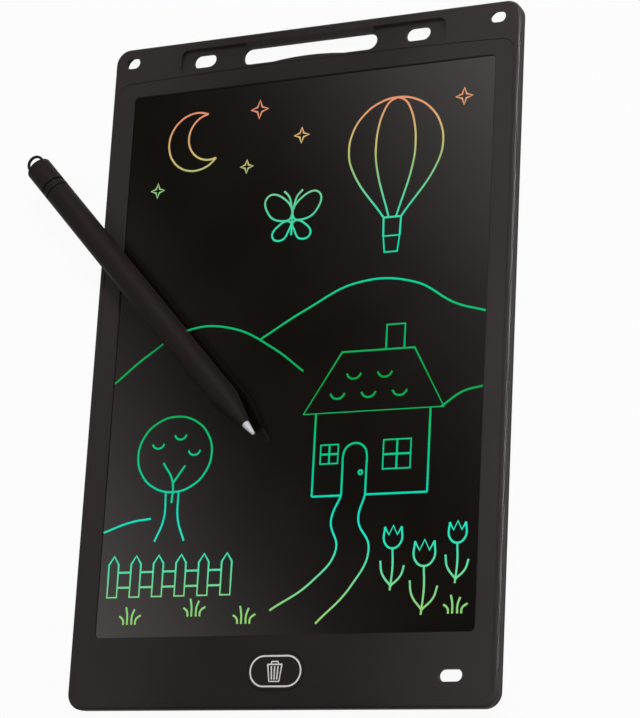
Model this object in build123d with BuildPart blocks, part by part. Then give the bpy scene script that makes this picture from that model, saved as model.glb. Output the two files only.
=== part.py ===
from build123d import *
import math
import os

# Ten inch writing tablet lying on its back: +X across, +Y up to the handle
# end, +Z out of the screen, origin at the centre of the back face.
# All sizes in millimetres.

# Case
tablet_width = 166.0
tablet_height = 253.0
tablet_thickness = 5.0
corner_radius = 5.9
split_height = 2.2
front_edge_round = 1.2
back_edge_bevel = 0.6
back_inset = 0.12
wall = 1.5
floor = 1.0
skin = 0.95
over = 2.0

# Shallow panel stepped into the front face, its top edge slightly bowed
panel_step = 0.25
panel_side_margin = 2.3
panel_foot_margin = 2.2
panel_head_margin = 14.8
panel_bow = 1.5
panel_corner = 5.0
panel_bevel_angle = 45.0

# Screen window and the sheets under it
window_side_margin = 9.4
window_head_margin = 20.3
window_foot_margin = 25.8
window_corner = 1.6
window_bevel = 0.35
bevel_angle = 45.0
lip = 0.55
tape = 0.1
front_film_thickness = 0.25
crystal_thickness = 0.15
backing_thickness = 0.25
film_lap = 2.3
film_foot_lap = 1.8
film_gap = 0.2
film_corner = 1.8
tape_reach = 0.5

# Handle end: stylus trough, long opening, two slots, two lanyard slots
handle_shift = -1.0
trough_length = 108.4
trough_width = 9.8
trough_head_margin = 3.4
trough_depth = 1.3
trough_wall_run = 1.0
trough_corner = 3.0
trough_floor_share = 0.4
trough_round = 0.9
head_bump_height = 0.55
opening_length = 55.0
opening_width = 6.8
opening_head_margin = 5.4
lip_drop = 0.6
lip_end_gap = 1.5
bump_height = 1.0
bump_length = 29.0
groove_slot_length = 9.7
groove_slot_width = 5.5
groove_slot_spacing = 87.5
groove_slot_head_margin = 8.25
lanyard_shift = -0.55
lanyard_side_margin = 8.25
lanyard_length = 5.9
lanyard_width = 4.3
lanyard_head_margin = 6.0
corner_slot_length = 9.0
corner_slot_width = 4.4
corner_slot_side_margin = 17.6
corner_slot_foot_margin = 11.1
opening_relief = 1.3
slot_relief = 2.0
slot_skin = 1.2
tube_wall = 1.2

# Erase key
key_foot_margin = 13.1
key_length = 21.9
key_width = 13.2
key_gap = 0.15
key_flange = 1.0
key_flange_thickness = 0.5
key_play = 0.05
key_proud = 0.05

# Circuit board and what it carries
board_headroom = 1.1
board_thickness = 0.8
board_side_margin = 23.0
board_door_gap = 1.5
board_width = 16.5
board_hole_radius = 0.95
boss_radius = 1.9
boss_bore = 0.75
boss_inset = 3.2
boss_key_gap = 1.5
boss_offset_y = 5.4
screw_head_radius = 1.5
screw_head_height = 0.6
screw_shank_radius = 0.72
screw_bite = 0.8
dome_radius = 2.6
dome_height = 0.25
dome_crown_share = 0.5
driver_length = 5.0
driver_width = 4.0
driver_height = 0.7
driver_place_share = (0.36, 0.2)
coil_length = 3.0
coil_width = 3.2
coil_height = 0.9
coil_place_share = (0.68, -0.18)
capacitor_length = 1.8
capacitor_width = 1.2
capacitor_height = 0.5
capacitor_place_shares = ((0.12, -0.2), (0.4, -0.22), (0.88, 0.24))

# Coin cell and its contacts
cell_side_margin = 47.0
cell_radius = 10.0
cell_thickness = 1.6
cell_foot_margin = 13.6
cell_step_radius = 8.9
cell_step_height = 0.3
contact_thickness = 0.2
contact_width = 2.8
contact_overlap = 4.0
top_contact_offset = -4.6
side_contact_offset = 4.6
blade_gap = 0.05
blade_height = 1.0
post_thickness = 1.5
post_length = 3.0
post_gap = 0.35
post_angle = 46.0
post_count = 4
post_floor_gap = 0.3

# Battery door, its tabs and screw
door_end_margin = 3.5
door_width = 21.4
door_gap = 0.15
door_inset = 0.08
door_corner = 1.5
door_hinge_round = 0.4
tab_reach = 1.2
tab_thickness = 0.5
tab_lift = 0.12
tab_width = 4.0
tab_spacing = 11.0
door_screw_inset = 2.4
door_screw_radius = 0.85
door_screw_length = 2.3
door_screw_head_radius = 1.55
door_screw_head_height = 0.45
door_screw_hole_gap = 0.08
door_screw_boss_gap = 0.32
door_boss_radius = 2.1
door_boss_top = 2.5
door_boss_gap = 0.6
cross_length = 1.9
cross_width = 0.4
cross_depth = 0.25
door_grip_count = 3
door_grip_length = 8.0
door_grip_width = 0.6
door_grip_depth = 0.25
door_grip_pitch = 1.4
door_grip_offset = 8.0

# Lock switch
lock_board_margin = 12.0
lock_travel = 3.0
lock_body_length = 9.0
lock_body_width = 3.8
lock_body_gap = 0.06
lock_channel_depth = 0.45
lock_plate_length = 5.0
lock_plate_width = 3.4
lock_plate_thickness = 0.38
lock_recess_depth = 0.5
lock_recess_gap = 0.4
lock_recess_corner = 0.8
lock_stem_length = 2.4
lock_stem_width = 1.3
lock_stem_gap = 0.2
lock_stem_bite = 0.3
lock_ridge_count = 3
lock_ridge_pitch = 1.1
lock_ridge_width = 0.4
lock_ridge_depth = 0.15

# Flexible tail from the sheets to the board
tail_key_gap = 6.5
tail_width = 6.0
tail_thickness = 0.12
tail_lap = 2.4
tail_board_lap = 2.4
tail_notch_gap = 1.0

# Ribs and tongues of the back cover
rib_width = 1.2
rib_columns = 3
rib_rows = 4
rib_column_pitch = 48.0
rib_row_pitch = 52.0
rib_margin = 6.0
tongue_width = 0.8
tongue_height = 0.8
tongue_margin = 31.0
tongue_gap = 0.12

# Stylus, lying over the left edge with its tip above the screen
stylus_tail_x = -114.62
stylus_tail_y = 84.39
stylus_angle = -47.81
stylus_radius = 4.95
stylus_rest_gap = 0.05
tail_loop_length = 3.5
tail_cap_length = 14.1
tail_seam = 0.7
tail_seam_depth = 0.4
ring_groove_station = 20.4
ring_groove_width = 0.7
ring_groove_depth = 0.4
barrel_end_station = 136.35
barrel_bore_radius = 3.75
tail_spigot_length = 9.0
spigot_gap = 0.02
cone_end_station = 148.5
cone_root_radius = 4.85
cone_end_radius = 1.9
cone_spigot_length = 8.0
stylus_length = 154.0
nib_radius = 1.4
nib_tip_radius = 0.7
nib_nose_length = 4.8
nib_stem_length = 12.0
nib_gap = 0.02
loop_bite = 0.5
loop_width = 6.6
loop_thickness = 1.4
loop_wall = 1.0
loop_hole_width = 4.6

# Heights above the back face
panel_z = tablet_thickness - panel_step
lip_z = panel_z - lip
film_z = lip_z - tape
crystal_z = film_z - front_film_thickness
backing_top_z = crystal_z - crystal_thickness
backing_z = backing_top_z - backing_thickness
ceiling_z = panel_z - skin
board_top_z = ceiling_z - board_headroom
board_z = board_top_z - board_thickness
cell_z = board_top_z - cell_thickness
trough_z = tablet_thickness - trough_depth

# Lines across the tablet
half_width = tablet_width / 2
half_height = tablet_height / 2
window_width = tablet_width - 2 * window_side_margin
window_height = tablet_height - window_head_margin - window_foot_margin
window_y = (window_foot_margin - window_head_margin) / 2
film_width = window_width + 2 * film_lap
film_height = window_height + film_lap + film_foot_lap
film_y = window_y + (film_lap - film_foot_lap) / 2
film_foot_y = film_y - film_height / 2
pocket_head_y = film_y + film_height / 2 + film_gap
pocket_foot_y = wall - half_height
bezel_head_y = film_foot_y - film_gap
key_y = key_foot_margin - half_height
cell_y = cell_foot_margin - half_height
trough_head_y = half_height - trough_head_margin
trough_foot_y = trough_head_y - trough_width
trough_y = (trough_head_y + trough_foot_y) / 2
opening_y = half_height - opening_head_margin - opening_width / 2
opening_foot_y = opening_y - opening_width / 2
lip_run = opening_head_margin - trough_head_margin
lip_length = opening_length - 2 * lip_end_gap
bump_radius = (bump_length**2 / 4 + bump_height**2) / (2 * bump_height)
head_bump_radius = (bump_length**2 / 4 + head_bump_height**2) / (2 * head_bump_height)
groove_slot_y = half_height - groove_slot_head_margin
lanyard_y = half_height - lanyard_head_margin
corner_slot_x = half_width - corner_slot_side_margin
corner_slot_y = corner_slot_foot_margin - half_height
panel_foot_y = panel_foot_margin - half_height
panel_end_y = half_height - panel_head_margin
panel_crown_y = panel_end_y + panel_bow
panel_half_width = half_width - panel_side_margin
cell_x = half_width - cell_side_margin
door_screw_x = cell_x - cell_radius - door_boss_gap - door_boss_radius
door_left = door_screw_x - door_screw_inset
door_right = cell_x + cell_radius + door_end_margin
door_length = door_right - door_left
door_x = (door_left + door_right) / 2
door_y = cell_y
board_left = board_side_margin - half_width
board_right = door_left - door_screw_inset - board_door_gap
board_x = (board_left + board_right) / 2
board_length = board_right - board_left
board_y = key_y
near_boss_x = -key_length / 2 - key_flange - boss_key_gap - boss_radius
far_boss_x = board_left + boss_inset
boss_places = ((far_boss_x, board_y + boss_offset_y), (near_boss_x, board_y - boss_offset_y))
tail_x = -key_length / 2 - key_flange - tail_key_gap - tail_width / 2
lock_x = board_left + lock_board_margin
chip_zone_left = far_boss_x + boss_radius
chip_zone_length = tail_x - tail_width / 2 - chip_zone_left
post_ring = cell_radius + post_gap + post_thickness / 2
groove_slot_places = ((handle_shift - groove_slot_spacing / 2, groove_slot_y),
                      (handle_shift + groove_slot_spacing / 2, groove_slot_y))
lanyard_places = ((lanyard_shift - half_width + lanyard_side_margin, lanyard_y),
                  (lanyard_shift + half_width - lanyard_side_margin, lanyard_y))


def on_board(place_share):
    across_share, up_share = place_share
    return (chip_zone_left + chip_zone_length * across_share, board_y + board_width * up_share)


os.makedirs("parts", exist_ok=True)

# Cutter of the stylus trough: steep upper wall with a low bump above the long
# opening, flat floor, ramp to the panel
with BuildPart() as trough_cutter:
    with BuildSketch(Plane.YZ.offset(-trough_length / 2)) as trough_section:
        with BuildLine() as trough_line:
            Polyline(
                (trough_head_y, tablet_thickness + over),
                (trough_head_y, tablet_thickness),
                (trough_head_y - trough_wall_run, trough_z),
                (trough_head_y - trough_width * trough_floor_share, trough_z),
                (trough_foot_y, panel_z),
                (trough_foot_y, tablet_thickness + over),
                close=True,
            )
        make_face()
        fillet(trough_section.vertices().sort_by(Axis.Z)[:2], trough_round)
    extrude(amount=trough_length)
    with BuildSketch(Plane.XY):
        with Locations((0, trough_y)):
            RectangleRounded(trough_length, trough_width, trough_corner)
        with Locations((handle_shift, trough_head_y - head_bump_height + head_bump_radius)):
            Circle(head_bump_radius, mode=Mode.SUBTRACT)
    extrude(amount=tablet_thickness + 2 * over, mode=Mode.INTERSECT)

# Front frame: moulded shell with the screen window, trough and openings
with BuildPart() as front_frame:
    with BuildSketch(Plane.XY.offset(split_height)):
        RectangleRounded(tablet_width, tablet_height, corner_radius)
    extrude(amount=tablet_thickness - split_height)
    fillet(front_frame.faces().sort_by(Axis.Z)[-1].edges(), front_edge_round)
    # panel step
    with BuildSketch(Plane.XY.offset(panel_z)) as panel_sketch:
        with BuildLine():
            Polyline(
                (-panel_half_width, panel_end_y),
                (-panel_half_width, panel_foot_y),
                (panel_half_width, panel_foot_y),
                (panel_half_width, panel_end_y),
            )
            ThreePointArc((panel_half_width, panel_end_y), (0, panel_crown_y), (-panel_half_width, panel_end_y))
        make_face()
        fillet(panel_sketch.vertices(), panel_corner)
    extrude(amount=panel_step, taper=-panel_bevel_angle, mode=Mode.SUBTRACT)
    # trough
    add(trough_cutter.part, mode=Mode.SUBTRACT)
    # lip that slopes down to the long opening from the head
    with BuildSketch(Plane.YZ.offset(handle_shift - lip_length / 2)):
        with BuildLine():
            Polyline(
                (trough_head_y, tablet_thickness),
                (trough_head_y - 2 * lip_run, tablet_thickness - 2 * lip_drop),
                (trough_head_y - 2 * lip_run, split_height),
                (trough_head_y, split_height),
                close=True,
            )
        make_face()
    extrude(amount=lip_length)
    # pocket for the sheets and the board under them
    with BuildSketch(Plane.XY.offset(split_height)):
        with Locations((0, film_y)):
            RectangleRounded(film_width + 2 * film_gap, film_height + 2 * film_gap, film_corner + film_gap)
    extrude(amount=lip_z - split_height, mode=Mode.SUBTRACT)
    # hollow behind the side walls
    with BuildSketch(Plane.XY.offset(split_height)):
        with Locations((0, (pocket_head_y + pocket_foot_y) / 2)):
            RectangleRounded(tablet_width - 2 * wall, pocket_head_y - pocket_foot_y, corner_radius - wall)
    extrude(amount=backing_z - split_height, mode=Mode.SUBTRACT)
    # hollow behind the foot of the frame
    with BuildSketch(Plane.XY.offset(split_height)):
        with Locations((0, (bezel_head_y + pocket_foot_y) / 2)):
            RectangleRounded(tablet_width - 2 * wall, bezel_head_y - pocket_foot_y, corner_radius - wall)
    extrude(amount=ceiling_z - split_height, mode=Mode.SUBTRACT)
    # wall round the corner slot
    with BuildSketch(Plane.XY.offset(split_height)):
        with Locations((corner_slot_x, corner_slot_y)):
            Rectangle(corner_slot_length + 2 * tube_wall, corner_slot_width + 2 * tube_wall)
    extrude(amount=ceiling_z - split_height)
    # bosses for the circuit board
    with BuildSketch(Plane.XY.offset(board_top_z)):
        with Locations(*boss_places):
            Rectangle(2 * boss_radius, 2 * boss_radius)
    extrude(amount=board_headroom)
    with BuildSketch(Plane.XY.offset(board_top_z)):
        with Locations(*boss_places):
            Circle(boss_bore)
    extrude(amount=screw_bite, mode=Mode.SUBTRACT)
    # posts round the coin cell
    with BuildSketch(Plane.XY.offset(floor + post_floor_gap)):
        with Locations((cell_x, cell_y)):
            with PolarLocations(post_ring, post_count, start_angle=post_angle):
                Rectangle(post_thickness, post_length)
    extrude(amount=ceiling_z - floor - post_floor_gap)
    # window and its bevel
    with BuildSketch(Plane.XY.offset(lip_z)):
        with Locations((0, window_y)):
            RectangleRounded(window_width, window_height, window_corner)
    extrude(amount=tablet_thickness, mode=Mode.SUBTRACT)
    with BuildSketch(Plane.XY.offset(panel_z - window_bevel)):
        with Locations((0, window_y)):
            RectangleRounded(window_width, window_height, window_corner)
    extrude(amount=window_bevel, taper=-bevel_angle, mode=Mode.SUBTRACT)
    # long opening with the low bump on its lower edge
    with BuildSketch(Plane.XY.offset(split_height)):
        with Locations((handle_shift, opening_y)):
            SlotOverall(opening_length, opening_width)
        with Locations((handle_shift, opening_foot_y + bump_height - bump_radius)):
            Circle(bump_radius, mode=Mode.SUBTRACT)
    extrude(amount=tablet_thickness, mode=Mode.SUBTRACT)
    # slots in the trough, lanyard slots and corner slot
    with BuildSketch(Plane.XY.offset(split_height)):
        with Locations(*groove_slot_places):
            SlotOverall(groove_slot_length, groove_slot_width)
        with Locations(*lanyard_places):
            SlotOverall(lanyard_length, lanyard_width)
        with Locations((corner_slot_x, corner_slot_y)):
            SlotOverall(corner_slot_length, corner_slot_width)
    extrude(amount=tablet_thickness, mode=Mode.SUBTRACT)
    # thin skin round the lanyard slots
    with BuildSketch(Plane.XY.offset(split_height)):
        with Locations(*lanyard_places):
            SlotOverall(lanyard_length + 2 * slot_relief, lanyard_width + 2 * slot_relief)
    extrude(amount=tablet_thickness - slot_skin - split_height, mode=Mode.SUBTRACT)
    # hole for the erase key
    with BuildSketch(Plane.XY.offset(ceiling_z)):
        with Locations((0, key_y)):
            SlotOverall(key_length + 2 * key_gap, key_width + 2 * key_gap)
    extrude(amount=tablet_thickness, mode=Mode.SUBTRACT)
front_frame.part.label = "front_frame"
export_step(front_frame.part, "parts/front_frame.step")

# Back cover: floor, rim, ribs under the screen, walls round every opening
cover_width = tablet_width - 2 * back_inset
cover_height = tablet_height - 2 * back_inset
rib_zone_head = film_y + film_height / 2 - rib_margin
rib_zone_foot = film_foot_y + rib_margin
rib_zone_y = (rib_zone_head + rib_zone_foot) / 2
rib_zone_height = rib_zone_head - rib_zone_foot
with BuildPart() as back_cover:
    with BuildSketch(Plane.XY):
        RectangleRounded(cover_width, cover_height, corner_radius - back_inset)
    extrude(amount=split_height)
    chamfer(back_cover.faces().sort_by(Axis.Z)[0].edges(), back_edge_bevel)
    with BuildSketch(Plane.XY.offset(floor)):
        RectangleRounded(tablet_width - 2 * wall, tablet_height - 2 * wall, corner_radius - wall)
    extrude(amount=split_height, mode=Mode.SUBTRACT)
    # ribs that carry the support board
    with BuildSketch(Plane.XY.offset(floor)):
        with Locations((0, rib_zone_y)):
            with GridLocations(rib_column_pitch, 0, rib_columns, 1):
                Rectangle(rib_width, rib_zone_height)
            with GridLocations(0, rib_row_pitch, 1, rib_rows):
                Rectangle(film_width - 2 * rib_margin, rib_width)
    extrude(amount=split_height - floor)
    # tongues that centre the front frame
    tongue_x = half_width - wall - tongue_gap - tongue_width / 2
    with BuildSketch(Plane.XY.offset(floor)):
        with GridLocations(2 * tongue_x, 0, 2, 1):
            Rectangle(tongue_width, tablet_height - 2 * tongue_margin)
    extrude(amount=split_height + tongue_height - floor)
    # pad that holds the board up under the snap dome
    with BuildSketch(Plane.XY.offset(floor)):
        with Locations((0, key_y)):
            Circle(dome_radius)
    extrude(amount=board_z - floor)
    # walls round the openings
    with BuildSketch(Plane.XY.offset(floor)):
        with Locations((handle_shift, opening_y)):
            Rectangle(opening_length + 2 * slot_relief + 2 * tube_wall,
                      opening_width + 2 * opening_relief + 2 * tube_wall)
        with Locations(*groove_slot_places):
            Rectangle(groove_slot_length + 2 * slot_relief + 2 * tube_wall,
                      groove_slot_width + 2 * slot_relief + 2 * tube_wall)
        with Locations(*lanyard_places):
            Rectangle(lanyard_length + 2 * slot_relief + 2 * tube_wall,
                      lanyard_width + 2 * slot_relief + 2 * tube_wall)
        with Locations((corner_slot_x, corner_slot_y)):
            Rectangle(corner_slot_length + 2 * slot_relief + 2 * tube_wall,
                      corner_slot_width + 2 * slot_relief + 2 * tube_wall)
    extrude(amount=split_height - floor)
    # the openings themselves, wider than in the frame
    with BuildSketch(Plane.XY):
        with Locations((handle_shift, opening_y)):
            SlotOverall(opening_length + 2 * slot_relief, opening_width + 2 * opening_relief)
        with Locations(*groove_slot_places):
            SlotOverall(groove_slot_length + 2 * slot_relief, groove_slot_width + 2 * slot_relief)
        with Locations(*lanyard_places):
            SlotOverall(lanyard_length + 2 * slot_relief, lanyard_width + 2 * slot_relief)
        with Locations((corner_slot_x, corner_slot_y)):
            SlotOverall(corner_slot_length + 2 * slot_relief, corner_slot_width + 2 * slot_relief)
    extrude(amount=tablet_thickness, mode=Mode.SUBTRACT)
    # battery opening
    with BuildSketch(Plane.XY) as door_opening:
        with Locations((door_x, door_y)):
            Rectangle(door_length + 2 * door_gap, door_width + 2 * door_gap)
        fillet(door_opening.vertices().group_by(Axis.X)[0], door_corner)
    extrude(amount=floor, mode=Mode.SUBTRACT)
    # boss over the door's screw, joined to the floor beside the opening
    with BuildSketch(Plane.XY.offset(floor)):
        with Locations((door_screw_x, door_y)):
            Circle(door_boss_radius)
        with Locations((door_screw_x - door_screw_inset, door_y)):
            Rectangle(2 * door_screw_inset, 2 * door_boss_radius)
    extrude(amount=door_boss_top - floor)
    with BuildSketch(Plane.XY.offset(floor)):
        with Locations((door_screw_x, door_y)):
            Circle(door_screw_radius + door_screw_boss_gap)
    extrude(amount=door_boss_top - floor, mode=Mode.SUBTRACT)
    # recess and slot of the lock switch
    with BuildSketch(Plane.XY):
        with Locations((lock_x, key_y)):
            RectangleRounded(lock_plate_length + lock_travel + 2 * lock_recess_gap,
                             lock_plate_width + 2 * lock_recess_gap, lock_recess_corner)
    extrude(amount=lock_recess_depth, mode=Mode.SUBTRACT)
    with BuildSketch(Plane.XY):
        with Locations((lock_x, key_y)):
            Rectangle(lock_stem_length + lock_travel + 2 * lock_stem_gap, lock_stem_width + 2 * lock_stem_gap)
    extrude(amount=floor, mode=Mode.SUBTRACT)
back_cover.part.label = "back_cover"
export_step(back_cover.part, "parts/back_cover.step")

# Clear front film of the screen
with BuildPart() as front_film:
    with BuildSketch(Plane.XY.offset(crystal_z)) as film_outline:
        with Locations((0, film_y)):
            Rectangle(film_width, film_height)
        chamfer(film_outline.vertices(), film_corner)
    extrude(amount=front_film_thickness)
front_film.part.label = "front_film"
export_step(front_film.part, "parts/front_film.step")

# Liquid crystal layer
with BuildPart() as crystal_layer:
    with BuildSketch(Plane.XY.offset(backing_top_z)) as crystal_outline:
        with Locations((0, film_y)):
            Rectangle(film_width, film_height)
        chamfer(crystal_outline.vertices(), film_corner)
    extrude(amount=crystal_thickness)
crystal_layer.part.label = "crystal_layer"
export_step(crystal_layer.part, "parts/crystal_layer.step")

# Backing film with the colour bands
with BuildPart() as backing_film:
    with BuildSketch(Plane.XY.offset(backing_z)) as backing_outline:
        with Locations((0, film_y)):
            Rectangle(film_width, film_height)
        chamfer(backing_outline.vertices(), film_corner)
    extrude(amount=backing_thickness)
backing_film.part.label = "backing_film"
export_step(backing_film.part, "parts/backing_film.step")

# Adhesive tape frame between the lip and the film
with BuildPart() as border_tape:
    with BuildSketch(Plane.XY.offset(film_z)) as tape_outline:
        with Locations((0, film_y)):
            Rectangle(film_width, film_height)
        chamfer(tape_outline.vertices(), film_corner)
        with Locations((0, window_y)):
            Rectangle(window_width + 2 * tape_reach, window_height + 2 * tape_reach, mode=Mode.SUBTRACT)
    extrude(amount=tape)
border_tape.part.label = "border_tape"
export_step(border_tape.part, "parts/border_tape.step")

# Support board behind the sheets, notched for the flexible tail
with BuildPart() as support_board:
    with BuildSketch(Plane.XY.offset(split_height)) as support_outline:
        with Locations((0, film_y)):
            Rectangle(film_width, film_height)
        chamfer(support_outline.vertices(), film_corner)
        with Locations((tail_x, film_foot_y)):
            Rectangle(tail_width + 2 * tail_notch_gap, 2 * (tail_lap + tail_notch_gap), mode=Mode.SUBTRACT)
    extrude(amount=backing_z - split_height)
support_board.part.label = "support_board"
export_step(support_board.part, "parts/support_board.step")

# Circuit board
with BuildPart() as circuit_board:
    with BuildSketch(Plane.XY.offset(board_z)):
        with Locations((board_x, board_y)):
            Rectangle(board_length, board_width)
        with Locations(*boss_places):
            Circle(board_hole_radius, mode=Mode.SUBTRACT)
    extrude(amount=board_thickness)
circuit_board.part.label = "circuit_board"
export_step(circuit_board.part, "parts/circuit_board.step")

# Boost driver, coil and small parts on the board
with BuildPart() as board_chips:
    with BuildSketch(Plane.XY.offset(board_top_z)):
        with Locations(on_board(driver_place_share)):
            Rectangle(driver_length, driver_width)
    extrude(amount=driver_height)
    with BuildSketch(Plane.XY.offset(board_top_z)):
        with Locations(on_board(coil_place_share)):
            Rectangle(coil_length, coil_width)
    extrude(amount=coil_height)
    with BuildSketch(Plane.XY.offset(board_top_z)):
        with Locations(*[on_board(share) for share in capacitor_place_shares]):
            Rectangle(capacitor_length, capacitor_width)
    extrude(amount=capacitor_height)
board_chips.part.label = "board_chips"
export_step(board_chips.part, "parts/board_chips.step")

# Screws of the circuit board, driven from the back
with BuildPart() as board_screws:
    with BuildSketch(Plane.XY.offset(board_z - screw_head_height)):
        with Locations(*boss_places):
            Circle(screw_head_radius)
    extrude(amount=screw_head_height)
    with BuildSketch(Plane.XY.offset(board_z)):
        with Locations(*boss_places):
            Circle(screw_shank_radius)
    extrude(amount=board_thickness + screw_bite)
board_screws.part.label = "board_screws"
export_step(board_screws.part, "parts/board_screws.step")

# Metal snap dome under the key
with BuildPart() as snap_dome:
    with BuildSketch(Plane.XY.offset(board_top_z)):
        with Locations((0, key_y)):
            Circle(dome_radius)
    extrude(amount=dome_height)
    chamfer(snap_dome.faces().sort_by(Axis.Z)[-1].edges(), dome_height * dome_crown_share)
snap_dome.part.label = "snap_dome"
export_step(snap_dome.part, "parts/snap_dome.step")

# Erase key: oval cap with a flange that holds it behind the frame
with BuildPart() as erase_key:
    with BuildSketch(Plane.XY.offset(ceiling_z - key_play - key_flange_thickness)):
        with Locations((0, key_y)):
            SlotOverall(key_length + 2 * key_flange, key_width + 2 * key_flange)
    extrude(amount=key_flange_thickness)
    with BuildSketch(Plane.XY.offset(ceiling_z - key_play)):
        with Locations((0, key_y)):
            SlotOverall(key_length, key_width)
    extrude(amount=panel_z + key_proud - ceiling_z + key_play)
erase_key.part.label = "erase_key"
export_step(erase_key.part, "parts/erase_key.step")

# Coin cell: wide can, and the smaller face stepped up from it
with BuildPart() as coin_cell:
    with BuildSketch(Plane.XY.offset(cell_z)):
        with Locations((cell_x, cell_y)):
            Circle(cell_radius)
    extrude(amount=cell_thickness - cell_step_height)
    with BuildSketch(Plane.XY.offset(cell_z + cell_thickness - cell_step_height)):
        with Locations((cell_x, cell_y)):
            Circle(cell_step_radius)
    extrude(amount=cell_step_height)
coin_cell.part.label = "coin_cell"
export_step(coin_cell.part, "parts/coin_cell.step")

# Contact strip on the small face of the cell
with BuildPart() as top_contact:
    top_left = board_right - contact_overlap
    top_right = cell_x
    with BuildSketch(Plane.XY.offset(board_top_z)):
        with Locations(((top_left + top_right) / 2, cell_y + top_contact_offset)):
            Rectangle(top_right - top_left, contact_width)
    extrude(amount=contact_thickness)
top_contact.part.label = "top_contact"
export_step(top_contact.part, "parts/top_contact.step")

# Contact under the board that bears on the can of the cell
with BuildPart() as side_contact:
    blade_chord = math.sqrt(cell_radius**2 - (side_contact_offset - contact_width / 2)**2)
    blade_x = cell_x - blade_chord - blade_gap - contact_thickness
    blade_y = cell_y + side_contact_offset
    with BuildSketch(Plane.XY.offset(board_z - contact_thickness)):
        with Locations(((board_right - contact_overlap + blade_x) / 2, blade_y)):
            Rectangle(blade_x - board_right + contact_overlap, contact_width)
    extrude(amount=contact_thickness)
    with BuildSketch(Plane.XY.offset(board_z - contact_thickness)):
        with Locations((blade_x + contact_thickness / 2, blade_y)):
            Rectangle(contact_thickness, contact_width)
    extrude(amount=blade_height)
side_contact.part.label = "side_contact"
export_step(side_contact.part, "parts/side_contact.step")

# Battery door: it tips on its rounded right edge, where two tabs hook inside the cover
with BuildPart() as battery_door:
    with BuildSketch(Plane.XY.offset(door_inset)) as door_outline:
        with Locations((door_x, door_y)):
            Rectangle(door_length, door_width)
        fillet(door_outline.vertices().group_by(Axis.X)[0], door_corner)
    extrude(amount=floor - 2 * door_inset)
    fillet(battery_door.edges().group_by(Axis.X)[-1].sort_by(Axis.Z)[0], door_hinge_round)
    with BuildSketch(Plane.XY.offset(floor - door_inset)):
        with Locations((door_right - tab_reach, door_y)):
            with GridLocations(0, tab_spacing, 1, 2):
                Rectangle(2 * tab_reach, tab_width)
    extrude(amount=door_inset + tab_lift + tab_thickness)
    with BuildSketch(Plane.XY.offset(floor + tab_lift)):
        with Locations((door_right, door_y)):
            with GridLocations(0, tab_spacing, 1, 2):
                Rectangle(2 * (door_gap + tab_reach), tab_width)
    extrude(amount=tab_thickness)
    # screw hole and the sunk seat of its head
    with BuildSketch(Plane.XY):
        with Locations((door_screw_x, door_y)):
            Circle(door_screw_radius + door_screw_hole_gap)
    extrude(amount=floor, mode=Mode.SUBTRACT)
    with BuildSketch(Plane.XY):
        with Locations((door_screw_x, door_y)):
            Circle(door_screw_head_radius + door_screw_hole_gap)
    extrude(amount=door_inset + door_screw_head_height, mode=Mode.SUBTRACT)
    # grip ridges cut near the hooked end
    with BuildSketch(Plane.XY):
        with Locations((door_x + door_grip_offset, door_y)):
            with GridLocations(door_grip_pitch, 0, door_grip_count, 1):
                Rectangle(door_grip_width, door_grip_length)
    extrude(amount=door_inset + door_grip_depth, mode=Mode.SUBTRACT)
battery_door.part.label = "battery_door"
export_step(battery_door.part, "parts/battery_door.step")

# Screw of the battery door
with BuildPart() as door_screw:
    with BuildSketch(Plane.XY.offset(door_inset)):
        with Locations((door_screw_x, door_y)):
            Circle(door_screw_head_radius)
    extrude(amount=door_screw_head_height)
    with BuildSketch(Plane.XY.offset(door_inset + door_screw_head_height)):
        with Locations((door_screw_x, door_y)):
            Circle(door_screw_radius)
    extrude(amount=door_screw_length - door_screw_head_height)
    with BuildSketch(Plane.XY.offset(door_inset)):
        with Locations((door_screw_x, door_y)):
            Rectangle(cross_length, cross_width)
            Rectangle(cross_width, cross_length)
    extrude(amount=cross_depth, mode=Mode.SUBTRACT)
door_screw.part.label = "door_screw"
export_step(door_screw.part, "parts/door_screw.step")

# Body of the lock switch, under the board, with a channel for the stem
lock_body_z = floor + lock_body_gap
with BuildPart() as lock_switch_body:
    with BuildSketch(Plane.XY.offset(lock_body_z)):
        with Locations((lock_x, key_y)):
            Rectangle(lock_body_length, lock_body_width)
    extrude(amount=board_z - lock_body_z)
    with BuildSketch(Plane.XY.offset(lock_body_z)):
        with Locations((lock_x, key_y)):
            Rectangle(lock_stem_length + lock_travel + 2 * lock_stem_gap, lock_stem_width + 2 * lock_stem_gap)
    extrude(amount=lock_channel_depth, mode=Mode.SUBTRACT)
lock_switch_body.part.label = "lock_switch_body"
export_step(lock_switch_body.part, "parts/lock_switch_body.step")

# Sliding knob of the lock switch, sunk in the back cover
lock_rest_x = lock_x - lock_travel / 2
with BuildPart() as lock_knob:
    with BuildSketch(Plane.XY.offset(lock_recess_depth - lock_plate_thickness - lock_body_gap)):
        with Locations((lock_rest_x, key_y)):
            Rectangle(lock_plate_length, lock_plate_width)
    extrude(amount=lock_plate_thickness)
    with BuildSketch(Plane.XY.offset(lock_recess_depth - lock_body_gap)):
        with Locations((lock_rest_x, key_y)):
            Rectangle(lock_stem_length, lock_stem_width)
    extrude(amount=lock_body_gap + floor - lock_recess_depth + lock_stem_bite)
    with BuildSketch(Plane.XY.offset(lock_recess_depth - lock_plate_thickness - lock_body_gap)):
        with Locations((lock_rest_x, key_y)):
            with GridLocations(lock_ridge_pitch, 0, lock_ridge_count, 1):
                Rectangle(lock_ridge_width, lock_plate_width)
    extrude(amount=lock_ridge_depth, mode=Mode.SUBTRACT)
lock_knob.part.label = "lock_knob"
export_step(lock_knob.part, "parts/lock_knob.step")

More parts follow.
